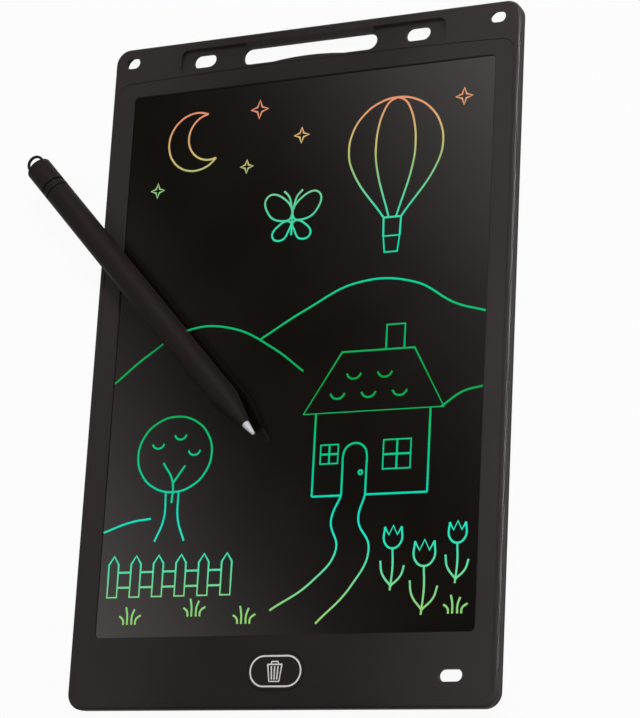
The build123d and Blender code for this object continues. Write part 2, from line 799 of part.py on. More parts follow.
# Flexible tail: glued under the backing film, down to the top of the board
with BuildPart() as flex_tail:
    with BuildSketch(Plane.YZ.offset(tail_x - tail_width / 2)):
        with BuildLine():
            board_edge_y = board_y + board_width / 2
            Polyline(
                (film_foot_y + tail_lap, backing_z),
                (film_foot_y, backing_z),
                (board_edge_y, board_top_z + tail_thickness),
                (board_edge_y - tail_board_lap, board_top_z + tail_thickness),
                (board_edge_y - tail_board_lap, board_top_z),
                (board_edge_y, board_top_z),
                (film_foot_y, backing_z - tail_thickness),
                (film_foot_y + tail_lap, backing_z - tail_thickness),
                close=True,
            )
        make_face()
    extrude(amount=tail_width)
flex_tail.part.label = "flex_tail"
export_step(flex_tail.part, "parts/flex_tail.step")

# Stylus planes: local x runs from tail to tip, local y lies across it
axis_x = math.cos(math.radians(stylus_angle))
axis_y = math.sin(math.radians(stylus_angle))
stylus_z = tablet_thickness + stylus_rest_gap + stylus_radius
stylus_plane = Plane(origin=(stylus_tail_x, stylus_tail_y, stylus_z), x_dir=(axis_x, axis_y, 0), z_dir=(0, 0, 1))
stylus_axis = Axis((stylus_tail_x, stylus_tail_y, stylus_z), (axis_x, axis_y, 0))
tail_cap_end = tail_loop_length + tail_cap_length
barrel_start = tail_cap_end

# Stylus barrel: tube with a ring groove near the tail
with BuildPart() as stylus_barrel:
    with BuildSketch(stylus_plane):
        with BuildLine():
            Polyline(
                (barrel_start, barrel_bore_radius),
                (barrel_start, stylus_radius),
                (ring_groove_station - ring_groove_width / 2, stylus_radius),
                (ring_groove_station - ring_groove_width / 2, stylus_radius - ring_groove_depth),
                (ring_groove_station + ring_groove_width / 2, stylus_radius - ring_groove_depth),
                (ring_groove_station + ring_groove_width / 2, stylus_radius),
                (barrel_end_station, stylus_radius),
                (barrel_end_station, barrel_bore_radius),
                close=True,
            )
        make_face()
    revolve(axis=stylus_axis)
stylus_barrel.part.label = "stylus_barrel"
export_step(stylus_barrel.part, "parts/stylus_barrel.step")

# Tail cap with the cord loop, its spigot inside the barrel
spigot_radius = barrel_bore_radius - spigot_gap
with BuildPart() as stylus_tail:
    with BuildSketch(stylus_plane):
        with BuildLine():
            Polyline(
                (tail_loop_length, 0),
                (tail_loop_length, stylus_radius),
                (tail_cap_end - tail_seam, stylus_radius),
                (tail_cap_end - tail_seam, stylus_radius - tail_seam_depth),
                (tail_cap_end, stylus_radius - tail_seam_depth),
                (tail_cap_end, spigot_radius),
                (tail_cap_end + tail_spigot_length, spigot_radius),
                (tail_cap_end + tail_spigot_length, 0),
                close=True,
            )
        make_face()
    revolve(axis=stylus_axis)
    loop_radius = loop_width / 2
    with BuildSketch(stylus_plane.offset(-loop_thickness / 2)):
        with Locations((loop_radius, 0)):
            Circle(loop_radius)
        with Locations(((loop_radius + tail_loop_length + loop_bite) / 2, 0)):
            Rectangle(tail_loop_length + loop_bite - loop_radius, loop_width)
    extrude(amount=loop_thickness)
    with BuildSketch(stylus_plane.offset(-loop_thickness)):
        with Locations((loop_wall + loop_hole_width / 2, 0)):
            Circle(loop_hole_width / 2)
        with Locations((tail_loop_length + loop_radius, 0)):
            Rectangle(loop_width, loop_width, mode=Mode.SUBTRACT)
    extrude(amount=2 * loop_thickness, mode=Mode.SUBTRACT)
stylus_tail.part.label = "stylus_tail"
export_step(stylus_tail.part, "parts/stylus_tail.step")

# Cone that closes the barrel and holds the nib
nib_bore = nib_radius + nib_gap
nib_root = cone_end_station - nib_stem_length
nose_start = stylus_length - nib_nose_length
# the nose's straight side runs into the round tip without a corner
tip_distance = nib_nose_length - nib_tip_radius
nose_slope = (math.atan2(nib_radius, tip_distance)
              - math.asin(nib_tip_radius / math.hypot(nib_radius, tip_distance)))
cap_x = stylus_length - nib_tip_radius + nib_tip_radius * math.sin(nose_slope)
cap_y = nib_tip_radius * math.cos(nose_slope)
with BuildPart() as stylus_cone:
    with BuildSketch(stylus_plane):
        with BuildLine():
            Polyline(
                (barrel_end_station - cone_spigot_length, nib_bore),
                (barrel_end_station - cone_spigot_length, spigot_radius),
                (barrel_end_station, spigot_radius),
                (barrel_end_station, cone_root_radius),
                (cone_end_station, cone_end_radius),
                (cone_end_station, nib_bore),
                close=True,
            )
        make_face()
    revolve(axis=stylus_axis)
stylus_cone.part.label = "stylus_cone"
export_step(stylus_cone.part, "parts/stylus_cone.step")

# Nib with its stem in the cone
with BuildPart() as stylus_nib:
    with BuildSketch(stylus_plane):
        with BuildLine():
            Line((nib_root, 0), (nib_root, nib_radius))
            Line((nib_root, nib_radius), (nose_start, nib_radius))
            Line((nose_start, nib_radius), (cap_x, cap_y))
            RadiusArc((cap_x, cap_y), (stylus_length, 0), nib_tip_radius)
            Line((stylus_length, 0), (nib_root, 0))
        make_face()
    revolve(axis=stylus_axis)
stylus_nib.part.label = "stylus_nib"
export_step(stylus_nib.part, "parts/stylus_nib.step")
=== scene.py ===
import bpy
import bmesh
import math
from mathutils import Matrix, Vector


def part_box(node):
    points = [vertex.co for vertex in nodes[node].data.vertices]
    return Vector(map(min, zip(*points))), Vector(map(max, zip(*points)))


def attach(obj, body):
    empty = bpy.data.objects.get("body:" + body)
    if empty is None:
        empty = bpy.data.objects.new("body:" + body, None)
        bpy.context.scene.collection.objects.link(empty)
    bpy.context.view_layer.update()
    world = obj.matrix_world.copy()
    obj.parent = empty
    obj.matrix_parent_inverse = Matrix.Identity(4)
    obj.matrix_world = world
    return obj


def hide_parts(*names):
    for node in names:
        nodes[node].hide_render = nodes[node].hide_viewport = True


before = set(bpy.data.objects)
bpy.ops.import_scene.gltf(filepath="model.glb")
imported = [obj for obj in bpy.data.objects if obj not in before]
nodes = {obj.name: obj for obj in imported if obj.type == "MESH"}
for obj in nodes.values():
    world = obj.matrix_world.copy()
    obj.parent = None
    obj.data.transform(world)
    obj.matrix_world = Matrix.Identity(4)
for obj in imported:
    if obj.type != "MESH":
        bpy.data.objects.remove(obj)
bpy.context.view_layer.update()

MM = 0.001


# Back cover, battery door and front frame
# Moulded charcoal ABS with a fine spark-eroded grain. The frame snaps and is
# glued on the back cover, and the door clips into the cover.
class Wire:
    """One socket of a shader. Sums on it add the Math nodes that work them out."""

    def __init__(self, tree, socket):
        self.tree = tree
        self.socket = socket

    def node(self, kind, settings=None, values=None, output=0):
        """Any node: its settings first, then the values or links of its sockets."""
        made = self.tree.nodes.new("ShaderNode" + kind)
        for name, value in (settings or {}).items():
            if name == "stops":
                ramp = made.color_ramp
                while len(ramp.elements) < len(value):
                    ramp.elements.new(1.0)
                for element, (place, colour) in zip(ramp.elements, value):
                    element.position = place
                    element.color = colour
            else:
                setattr(made, name, value)
        for name, value in (values or {}).items():
            if isinstance(value, Wire):
                self.tree.links.new(value.socket, made.inputs[name])
            else:
                made.inputs[name].default_value = value
        return Wire(self.tree, made.outputs[output])

    def sum(self, operation, first, second=0.0):
        return self.node("Math", {"operation": operation}, {0: first, 1: second})

    def __add__(self, other):
        return self.sum("ADD", self, other)

    def __sub__(self, other):
        return self.sum("SUBTRACT", self, other)

    def __rsub__(self, other):
        return self.sum("SUBTRACT", other, self)

    def __mul__(self, other):
        return self.sum("MULTIPLY", self, other)

    def __truediv__(self, other):
        return self.sum("DIVIDE", self, other)

    def __pow__(self, other):
        return self.sum("POWER", self, other)

    def __abs__(self):
        return self.sum("ABSOLUTE", self)

    __radd__ = __add__
    __rmul__ = __mul__

    @property
    def x(self):
        return self.node("SeparateXYZ", None, {0: self}, output=0)

    @property
    def y(self):
        return self.node("SeparateXYZ", None, {0: self}, output=1)

    def between(self, low, high):
        """0 up to low, 1 from high, and a smooth rise between them."""
        values = {"Value": self, "From Min": low, "From Max": high}
        return self.node("MapRange", {"interpolation_type": "SMOOTHSTEP"}, values)

    def blend(self, first, second):
        """The first colour where this is 0, the second where it is 1."""
        values = {"Factor": self, 6: first, 7: second}
        return self.node("Mix", {"data_type": "RGBA"}, values, output=2)

    def noise(self, size, detail):
        """Mottle whose patches are about size metres wide, read at this place."""
        return self.node("TexNoise", None, {"Vector": self, "Scale": 1 / size, "Detail": detail})

    def bump(self, strength, depth):
        """A surface that stands up to depth metres higher where this is 1."""
        return self.node("Bump", None, {"Strength": strength, "Distance": depth, "Height": self})


def blank(name):
    """A new material with nothing in it yet: itself, its nodes and its surface socket."""
    material = bpy.data.materials.new(name)
    material.use_nodes = True
    tree = material.node_tree
    tree.nodes.clear()
    return material, tree, tree.nodes.new("ShaderNodeOutputMaterial").inputs["Surface"]


def start(name):
    """A new material: itself, its shader, and the place in the object's own space."""
    material, tree, surface = blank(name)
    shader = tree.nodes.new("ShaderNodeBsdfPrincipled")
    tree.links.new(shader.outputs[0], surface)
    place = tree.nodes.new("ShaderNodeTexCoord").outputs["Object"]
    return material, shader, Wire(tree, place)


def dress(shader, **sockets):
    """Sets the shader's sockets: a wire is linked, a number or colour is written."""
    for name, value in sockets.items():
        target = shader.inputs[name.replace("_", " ")]
        if isinstance(value, Wire):
            value.tree.links.new(value.socket, target)
        else:
            target.default_value = value


def rgb(red, green, blue):
    """A colour given as it looks on a screen, 0 to 255 each."""
    shares = [value / 255 for value in (red, green, blue)]
    return tuple(share / 12.92 if share <= 0.04045 else ((share + 0.055) / 1.055) ** 2.4
                 for share in shares) + (1.0,)


def coat(node_names, material):
    """Puts a finish on the pieces that are named."""
    for name in node_names:
        mesh = nodes[name].data
        mesh.materials.clear()
        mesh.materials.append(material)


GRAIN_SIZE, GRAIN_DEPTH, GRAIN_STRENGTH = 0.00022, 0.000012, 0.35
FLOW_SIZE = 0.045
FLOW_SHARE, GRIT_SHARE = 0.7, 0.3
ROUGHNESS_SPREAD, GRIT_ROUGHNESS = 0.1, 0.08
SIDE_START, SIDE_END = 0.02, 0.085


def charcoal(name, dark, pale, roughness, grain=1.0, shine=0.1, painted_side_light=0.0):
    """Moulded plastic: slow mottle from the flow in the mould, and the mould's fine grain.

    Its last argument sets how much the two long sides of the case are painted paler: painted
    light, not a colour of the plastic.
    """
    material, shader, place = start(name)
    flow = place.noise(FLOW_SIZE, 3.0)
    grit = place.noise(GRAIN_SIZE, 2.0)
    mottle = (flow * FLOW_SHARE + grit * GRIT_SHARE).between(0.32, 0.68)
    # Painted light: the two long sides of the case are painted paler than its middle.
    side = abs(place.x).between(SIDE_START, SIDE_END)
    smoothest = roughness - ROUGHNESS_SPREAD / 2
    dress(shader,
          Base_Color=(mottle * (1 - painted_side_light) + side * painted_side_light).blend(dark, pale),
          Roughness=flow * ROUGHNESS_SPREAD + (grit * GRIT_ROUGHNESS + smoothest),
          Normal=grit.bump(GRAIN_STRENGTH * grain, GRAIN_DEPTH),
          Specular_IOR_Level=shine)
    return material


# The frame's plastic has its long sides painted paler, as painted light.
case_plastic = charcoal("case_plastic", rgb(28, 20, 20), rgb(52, 45, 45), 0.55, painted_side_light=0.75)
cover_plastic = charcoal("cover_plastic", rgb(32, 26, 26), rgb(38, 32, 32), 0.6,
                         grain=1.4, shine=0.06)
coat(["front_frame"], case_plastic)
coat(["back_cover", "battery_door"], cover_plastic)

# Support board behind the screen
# White rigid foam sheet, cut square with a clipped corner, resting on the
# ribs of the back cover.
FOAM_CELL = 0.0004
board_foam, shader, place = start("board_foam")
cells = place.node("TexVoronoi", None, {"Vector": place, "Scale": 1 / FOAM_CELL})
dress(shader,
      Base_Color=cells.between(0.0, 0.8).blend(rgb(196, 196, 190), rgb(228, 228, 224)),
      Roughness=0.85,
      Normal=cells.bump(strength=0.4, depth=0.00005))
coat(["support_board"], board_foam)

# Screen sheets
# Backing film printed with bands of colour, the liquid crystal layer on it,
# and a semi-gloss clear film in front, all glued up to the frame with tape.
BAND_STOPS = [
    (0.00, rgb(178, 232, 100)),
    (0.07, rgb(150, 232, 150)),
    (0.15, rgb(56, 248, 200)),
    (0.21, rgb(10, 252, 217)),
    (0.27, rgb(8, 224, 168)),
    (0.34, rgb(6, 216, 132)),
    (0.43, rgb(12, 172, 70)),
    (0.56, rgb(14, 210, 130)),
    (0.67, rgb(3, 250, 197)),
    (0.735, rgb(80, 226, 176)),
    (0.77, rgb(118, 224, 168)),
    (0.82, rgb(172, 204, 130)),
    (0.855, rgb(218, 205, 128)),
    (0.93, rgb(250, 166, 125)),
    (1.00, rgb(236, 120, 116)),
]
screen_low, screen_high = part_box("front_film")
film_top = screen_high.z


def bands(place):
    """The printed bands, told by how far up the screen a place is."""
    share = (place.y - screen_low.y) / (screen_high.y - screen_low.y)
    return share.node("ValToRGB", {"stops": BAND_STOPS}, {0: share})


PRINT_DOT = 0.0006
backing_print, shader, place = start("backing_print")
dots = place.noise(PRINT_DOT, 1.0).between(0.3, 0.8)
dress(shader, Base_Color=dots.blend(bands(place), rgb(60, 120, 110)), Roughness=0.3)
coat(["backing_film"], backing_print)

CRYSTAL_CLOUD = 0.004
crystal_film, shader, place = start("crystal_film")
cloud = place.noise(CRYSTAL_CLOUD, 4.0).between(0.3, 0.7)
dress(shader, Base_Color=cloud.blend(rgb(24, 24, 26), rgb(34, 35, 38)), Roughness=0.25)
coat(["crystal_layer"], crystal_film)

FILM_DARK, FILM_PALE = rgb(12, 7, 2), rgb(16, 11, 4)
FILM_CLOUD, FILM_MATTE = 0.03, 0.00012
screen_film, shader, place = start("screen_film")
cloud = place.noise(FILM_CLOUD, 3.0)
matte = place.noise(FILM_MATTE, 1.0)
dress(shader,
      Base_Color=cloud.between(0.3, 0.7).blend(FILM_DARK, FILM_PALE),
      Roughness=cloud * 0.03 + 0.14,
      Normal=matte.bump(strength=0.12, depth=0.000004))
coat(["front_film"], screen_film)

TAPE_FLECK = 0.0008
tape_black, shader, place = start("tape_black")
fleck = place.noise(TAPE_FLECK, 2.0)
dress(shader, Base_Color=fleck.blend(rgb(18, 18, 18), rgb(32, 32, 32)), Roughness=0.7)
coat(["border_tape"], tape_black)

# Circuit board, its parts, screws and flexible tail
# Green board screwed up to two bosses of the frame, with the boost driver,
# coil and capacitors, and the amber tail that feeds the films.
STRIPES = {"wave_type": "BANDS", "bands_direction": "X"}
TRACE_SCALE, COPPER_SCALE = 380.0, 260.0
board_green, shader, place = start("board_green")
wavy = {"Vector": place, "Scale": TRACE_SCALE, "Distortion": 2.0, "Detail": 1.0}
trace = place.node("TexWave", STRIPES, wavy).between(0.62, 0.7)
dress(shader,
      Base_Color=trace.blend(rgb(16, 84, 48), rgb(34, 118, 66)),
      Roughness=0.35,
      Normal=trace.bump(strength=0.3, depth=0.00003))
coat(["circuit_board"], board_green)

CHIP_SPECK = 0.0001
chip_black, shader, place = start("chip_black")
speck = place.noise(CHIP_SPECK, 2.0)
dress(shader,
      Base_Color=speck.between(0.3, 0.8).blend(rgb(28, 28, 30), rgb(52, 52, 54)),
      Roughness=speck * 0.2 + 0.45,
      Normal=speck.bump(strength=0.3, depth=0.00001))
coat(["board_chips"], chip_black)

TARNISH_SIZE = 0.004


def metal(name, dark, pale, grain_size, stretch, roughness):
    """Rolled or plated metal, with fine lines along one way and a slow tarnish."""
    material, shader, place = start(name)
    stretched = place.node("Mapping", None, {"Vector": place, "Scale": stretch})
    lines = stretched.noise(grain_size, 3.0)
    tarnish = place.noise(TARNISH_SIZE, 3.0)
    dress(shader,
          Base_Color=(lines * 0.5 + tarnish * 0.5).between(0.35, 0.65).blend(dark, pale),
          Metallic=1.0,
          Roughness=lines * 0.15 + roughness,
          Normal=lines.bump(strength=0.2, depth=0.000006))
    return material


ALONG_X = (0.08, 1.0, 1.0)
EVENLY = (1.0, 1.0, 1.0)
steel = metal("steel", rgb(150, 150, 152), rgb(190, 190, 190), 0.0003, EVENLY, 0.3)
dome_steel = metal("dome_steel", rgb(178, 178, 174), rgb(205, 205, 200), 0.0002, ALONG_X, 0.22)
cell_steel = metal("cell_steel", rgb(176, 176, 172), rgb(208, 208, 204), 0.0002, ALONG_X, 0.26)
contact_metal = metal("contact_metal", rgb(180, 150, 96), rgb(212, 186, 130), 0.0002, ALONG_X,
                      0.28)
coat(["board_screws", "door_screw"], steel)
coat(["snap_dome"], dome_steel)
coat(["coin_cell"], cell_steel)
coat(["top_contact", "side_contact"], contact_metal)

flex_film, shader, place = start("flex_film")
copper = place.node("TexWave", STRIPES, {"Vector": place, "Scale": COPPER_SCALE})
dress(shader,
      Base_Color=copper.between(0.45, 0.55).blend(rgb(176, 108, 38), rgb(206, 150, 84)),
      Roughness=0.25)
coat(["flex_tail"], flex_film)

# Lock switch
# A small sliding switch under the board, whose ribbed knob lies sunk in the
# back cover.
switch_plastic = charcoal("switch_plastic", rgb(28, 28, 29), rgb(38, 38, 40), 0.5)
knob_plastic = charcoal("knob_plastic", rgb(42, 38, 39), rgb(52, 48, 49), 0.5)
coat(["lock_switch_body"], switch_plastic)
coat(["lock_knob"], knob_plastic)

# Erase key
# Oval cap in the frame's own plastic, held by its flange under the frame,
# with a white printed ring and a bin.
key_plastic = charcoal("key_plastic", rgb(27, 20, 20), rgb(32, 25, 25), 0.55)
coat(["erase_key"], key_plastic)

key_low, key_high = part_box("erase_key")
key_centre = (key_low + key_high) / 2
key_top = key_high.z

INK_WEAR = 0.0002
white_ink, shader, place = start("white_ink")
wear = place.noise(INK_WEAR, 3.0)
dress(shader,
      Base_Color=wear.between(0.25, 0.5).blend(rgb(226, 226, 220), rgb(250, 250, 246)),
      Roughness=0.55,
      Normal=wear.bump(strength=0.2, depth=0.000005))


def put(name, data):
    """A new object in the scene, made of data."""
    piece = bpy.data.objects.new(name, data)
    bpy.context.scene.collection.objects.link(piece)
    return piece


def line_work(name, width, rise, body, material, origin):
    """An empty curve for flat ribbons, width across and rise to each side, lying on origin.

    Each stroke's points carry the half width, so that the curve's box fits its ribbons.
    """
    curve = bpy.data.curves.new(name, "CURVE")
    curve.dimensions = "3D"
    curve.bevel_depth = 1.0
    curve["half_width"] = width / 2
    curve.bevel_resolution = 2
    curve.resolution_u = 10
    curve.use_fill_caps = True
    curve.materials.append(material)
    piece = put(name, curve)
    piece.location = origin
    piece.scale = (1.0, 1.0, 2 * rise / width)
    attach(piece, body)
    return curve


def stroke(curve, points, closed=False, handles="AUTO"):
    """One smooth stroke through points in millimetres."""
    spline = curve.splines.new("BEZIER")
    spline.bezier_points.add(len(points) - 1)
    for knot, (x, y) in zip(spline.bezier_points, points):
        knot.co = (x * MM, y * MM, 0.0)
        knot.radius = curve["half_width"]
        knot.handle_left_type = handles
        knot.handle_right_type = handles
    spline.use_cyclic_u = closed


def straight(curve, points, closed=False):
    """One stroke that runs straight from point to point."""
    stroke(curve, points, closed, "VECTOR")


def arc(centre, radius, first, last, count, squeeze=1.0):
    """Points on an arc from one angle to another, in degrees, squeezed across if asked."""
    turns = [math.radians(first + (last - first) * i / (count - 1)) for i in range(count)]
    return [(centre[0] + radius * squeeze * math.cos(turn), centre[1] + radius * math.sin(turn))
            for turn in turns]


INK_RISE = 0.000015
RING_LENGTH, RING_WIDTH, RING_LINE = 19.5, 10.6, 0.64
RUN_SHARE = 0.9
ring = line_work("key_ring", RING_LINE * MM, INK_RISE, "key", white_ink,
                 (key_centre.x, key_centre.y, key_top))
ring_turn = RING_WIDTH / 2
ring_straight = RING_LENGTH / 2 - ring_turn
run = ring_straight * RUN_SHARE
stroke(ring, arc((ring_straight, 0), ring_turn, -90, 90, 13)
       + [(run, ring_turn), (-run, ring_turn)]
       + arc((-ring_straight, 0), ring_turn, 90, 270, 13)
       + [(-run, -ring_turn), (run, -ring_turn)], closed=True)

BIN_LINE = 0.56
BIN_TOP, BIN_LID, BIN_FOOT = 3.35, 2.35, -3.55
BIN_RIM, BIN_SOLE, LID_LAP = 2.72, 1.95, 0.2
BIN_SHIFT = -0.3
HANDLE_FOOT, HANDLE_TOP = 1.5, 1.15
RIB_HEAD, RIB_FOOT, RIB_GAP = 1.3, 1.0, 0.6
bin_print = line_work("key_bin", BIN_LINE * MM, INK_RISE, "key", white_ink,
                      (key_centre.x + BIN_SHIFT * MM, key_centre.y, key_top))
straight(bin_print, [(-BIN_RIM - LID_LAP, BIN_LID), (BIN_RIM + LID_LAP, BIN_LID)])
straight(bin_print, [(-BIN_RIM, BIN_LID), (-BIN_SOLE, BIN_FOOT),
                     (BIN_SOLE, BIN_FOOT), (BIN_RIM, BIN_LID)])
straight(bin_print, [(-HANDLE_FOOT, BIN_LID), (-HANDLE_TOP, BIN_TOP),
                     (HANDLE_TOP, BIN_TOP), (HANDLE_FOOT, BIN_LID)])
for side in (-1, 0, 1):
    straight(bin_print, [(side * RIB_HEAD, BIN_LID - RIB_GAP),
                         (side * RIB_FOOT, BIN_FOOT + RIB_GAP)])

# Drawing on the screen
# What has been written with the stylus: plain scenery in lines that show the
# colour bands of the backing film.
LINE_WIDTH, LINE_RISE = 0.78, 0.00002
# Painted light: the drawn lines glow a little in their own colour, though the real lines only
# reflect light.
PAINTED_LINE_GLOW = 0.22
PRESSURE_SIZE = 0.003
drawn_line, shader, place = start("drawn_line")
pressure = place.noise(PRESSURE_SIZE, 3.0).between(0.3, 0.6)
colour = bands(place)
dress(shader,
      Base_Color=colour,
      Emission_Color=colour,
      Emission_Strength=PAINTED_LINE_GLOW,
      Roughness=pressure * 0.1 + 0.5,
      Specular_IOR_Level=0.02,
      Normal=pressure.bump(strength=0.1, depth=0.000004))


def drawing(name):
    """An empty drawing on the film, in lines of the stylus's width."""
    return line_work(name, LINE_WIDTH * MM, LINE_RISE, "case", drawn_line,
                     (0, 0, film_top))


# crescent moon and four-pointed stars
MOON, MOON_RADIUS = (-46.0, 86.0), 11.5
BITE, BITE_RADIUS = (-40.0, 87.5), 9.2
moon = drawing("moon_and_stars")
gap = math.dist(MOON, BITE)
lean = math.degrees(math.atan2(BITE[1] - MOON[1], BITE[0] - MOON[0]))
outer_turn = math.degrees(math.acos(
    (MOON_RADIUS**2 + gap**2 - BITE_RADIUS**2) / (2 * MOON_RADIUS * gap)))
inner_turn = math.degrees(math.acos(
    (MOON_RADIUS**2 - gap**2 - BITE_RADIUS**2) / (2 * BITE_RADIUS * gap)))
stroke(moon, arc(MOON, MOON_RADIUS, lean + outer_turn, lean + 360 - outer_turn, 13))
stroke(moon, arc(BITE, BITE_RADIUS, lean + inner_turn, lean + 360 - inner_turn, 11))
STARS = [(-20.0, 96.0, 3.6), (-24.0, 74.0, 2.6), (-61.0, 68.0, 2.8), (-2.0, 84.0, 3.0),
         (62.0, 92.0, 3.2)]
STAR_WAIST = 0.36
for x, y, reach in STARS:
    points = []
    for i in range(8):
        turn = math.radians(90 + 45 * i)
        length = reach if i % 2 == 0 else reach * STAR_WAIST
        points.append((x + length * math.cos(turn), y + length * math.sin(turn)))
    straight(moon, points, closed=True)

# hot-air balloon: envelope, gores, ropes and basket
ENVELOPE, ENVELOPE_RADIUS = (36.0, 76.0), 18.5
GORE = 0.42
SKIRT_Y, SKIRT_HALF = 49.0, 3.4
BASKET_TOP, BASKET_FOOT, BASKET_HALF, BASKET_TAPER = 42.0, 36.0, 3.2, 0.7
balloon = drawing("balloon")
cx = ENVELOPE[0]
stroke(balloon, [(cx - SKIRT_HALF, SKIRT_Y)] + arc(ENVELOPE, ENVELOPE_RADIUS, 205, -25, 11)
       + [(cx + SKIRT_HALF, SKIRT_Y)])
straight(balloon, [(cx - SKIRT_HALF, SKIRT_Y), (cx + SKIRT_HALF, SKIRT_Y)])
for squeeze in (-GORE, GORE):
    stroke(balloon, arc(ENVELOPE, ENVELOPE_RADIUS, 90, -20, 6, squeeze)
           + [(cx + SKIRT_HALF * squeeze, SKIRT_Y)])
for side in (-1, 1):
    straight(balloon, [(cx + side * SKIRT_HALF, SKIRT_Y), (cx + side * BASKET_HALF, BASKET_TOP)])
straight(balloon, [(cx - BASKET_HALF, BASKET_TOP), (cx + BASKET_HALF, BASKET_TOP),
                   (cx + BASKET_HALF - BASKET_TAPER, BASKET_FOOT),
                   (cx - BASKET_HALF + BASKET_TAPER, BASKET_FOOT)], closed=True)

# butterfly
FLY = (-4.0, 52.0)
butterfly = drawing("butterfly")
for side in (-1, 1):
    def wing(points):
        return [(FLY[0] + side * x, FLY[1] + y) for x, y in points]
    stroke(butterfly, wing([(0.5, 0.5), (4.5, 8.5), (10.5, 9.0), (9.8, 2.6), (4.5, -0.6)]),
           closed=True)
    stroke(butterfly, wing([(0.6, -1.4), (5.6, -2.6), (7.6, -6.6), (3.8, -8.0), (1.2, -4.6)]),
           closed=True)
    stroke(butterfly, wing([(0.4, 4.4), (1.6, 8.4), (3.8, 10.8)]))
stroke(butterfly, [(FLY[0], FLY[1] + 4.2), (FLY[0], FLY[1] - 6.4)])

# rolling hills behind everything
hills = drawing("hills")
stroke(hills, [(-73.3, -6.0), (-60.0, 4.0), (-44.0, 12.5), (-26.0, 12.0), (-8.0, 3.0),
               (4.0, -6.0)])
stroke(hills, [(-14.0, 7.0), (4.0, 17.0), (24.0, 25.5), (46.0, 24.0), (62.0, 15.0),
               (73.3, 11.5)])
stroke(hills, [(58.0, -22.0), (66.0, -17.0), (73.3, -15.5)])
stroke(hills, [(-73.3, -62.0), (-62.0, -58.5), (-54.0, -57.5)])

# cottage with its chimney, door, windows and path
cottage = drawing("cottage")
LEFT, RIGHT, GROUND, EAVES, RIDGE = 10.0, 54.0, -52.0, -22.0, 0.0
ROOF_LAP, LEFT_PITCH, RIGHT_PITCH = 5, 9, 7
STACK_LEFT, STACK_RIGHT, STACK_TOP = RIGHT - 18, RIGHT - 11, 9.0
straight(cottage, [(LEFT, EAVES), (LEFT, GROUND)])
straight(cottage, [(RIGHT, EAVES), (RIGHT, GROUND)])
straight(cottage, [(LEFT - ROOF_LAP, EAVES), (LEFT + LEFT_PITCH, RIDGE),
                   (RIGHT - RIGHT_PITCH, RIDGE), (RIGHT + ROOF_LAP, EAVES)], closed=True)
straight(cottage, [(STACK_LEFT, RIDGE), (STACK_LEFT, STACK_TOP), (STACK_RIGHT, STACK_TOP),
                   (STACK_RIGHT, RIDGE)])
DOOR_X, DOOR_HALF, DOOR_SPRING = 26.0, 4.6, -38.0
JAMB_TOP = DOOR_SPRING - 4
door_left, door_right = DOOR_X - DOOR_HALF, DOOR_X + DOOR_HALF
straight(cottage, [(LEFT, GROUND), (door_left, GROUND)])
straight(cottage, [(door_right, GROUND), (RIGHT, GROUND)])
stroke(cottage, [(door_left, GROUND), (door_left, JAMB_TOP)]
       + arc((DOOR_X, DOOR_SPRING), DOOR_HALF, 180, 0, 7)
       + [(door_right, JAMB_TOP), (door_right, GROUND)])
DOOR_KNOB, KNOB_RADIUS = (DOOR_X + 2.4, -44.0), 0.7
stroke(cottage, arc(DOOR_KNOB, KNOB_RADIUS, 0, 315, 8), closed=True)
for x, y, half in ((16.0, -37.0, 3.4), (42.0, -38.0, 5.2)):
    straight(cottage, [(x - half, y - half), (x + half, y - half), (x + half, y + half),
                       (x - half, y + half)], closed=True)
    straight(cottage, [(x, y - half), (x, y + half)])
    straight(cottage, [(x - half, y), (x + half, y)])
TILES = ((24.0, -7.0), (36.0, -7.0), (18.0, -14.0), (30.0, -14.0), (42.0, -14.0))
TILE_RADIUS = 3.0
for tile in TILES:
    stroke(cottage, arc(tile, TILE_RADIUS, 200, 340, 5))
stroke(cottage, [(door_left, GROUND), (18.0, -61.0), (20.5, -71.0), (12.0, -82.0),
                 (-4.0, -92.0)])
stroke(cottage, [(door_right, GROUND), (28.5, -61.0), (33.0, -71.0), (27.0, -84.0),
                 (14.0, -97.0)])

# round tree with a forked trunk
tree = drawing("tree")
CROWN, CROWN_RADIUS, CROWN_SPREAD = (-46.0, -34.0), 14.0, 1.08
stroke(tree, arc(CROWN, CROWN_RADIUS, 0, 330, 12, CROWN_SPREAD), closed=True)
stroke(tree, [(-48.6, -48.0), (-48.8, -58.0), (-52.0, -66.0)])
stroke(tree, [(-43.4, -48.0), (-43.0, -58.0), (-40.0, -66.0)])
stroke(tree, [(-46.0, -52.0), (-46.2, -44.0), (-50.4, -37.0)])
stroke(tree, [(-46.2, -45.0), (-41.4, -38.4)])
LEAVES, LEAF_RADIUS = ((-53.0, -29.0), (-44.0, -26.0), (-38.0, -32.0)), 2.6
for leaf in LEAVES:
    stroke(tree, arc(leaf, LEAF_RADIUS, 200, 340, 5))

# picket fence
fence = drawing("fence")
POST_HALF, POST_FOOT, POST_HEAD, POST_TIP = 2.0, -86.0, -74.0, -71.0
POSTS = [-68.0 + 9.2 * i for i in range(6)]
RAILS = (-77.0, -82.5)
for x in POSTS:
    straight(fence, [(x - POST_HALF, POST_FOOT), (x - POST_HALF, POST_HEAD), (x, POST_TIP),
                     (x + POST_HALF, POST_HEAD), (x + POST_HALF, POST_FOOT)], closed=True)
for y in RAILS:
    for x, beyond in zip(POSTS, POSTS[1:]):
        straight(fence, [(x + POST_HALF, y), (beyond - POST_HALF, y)])

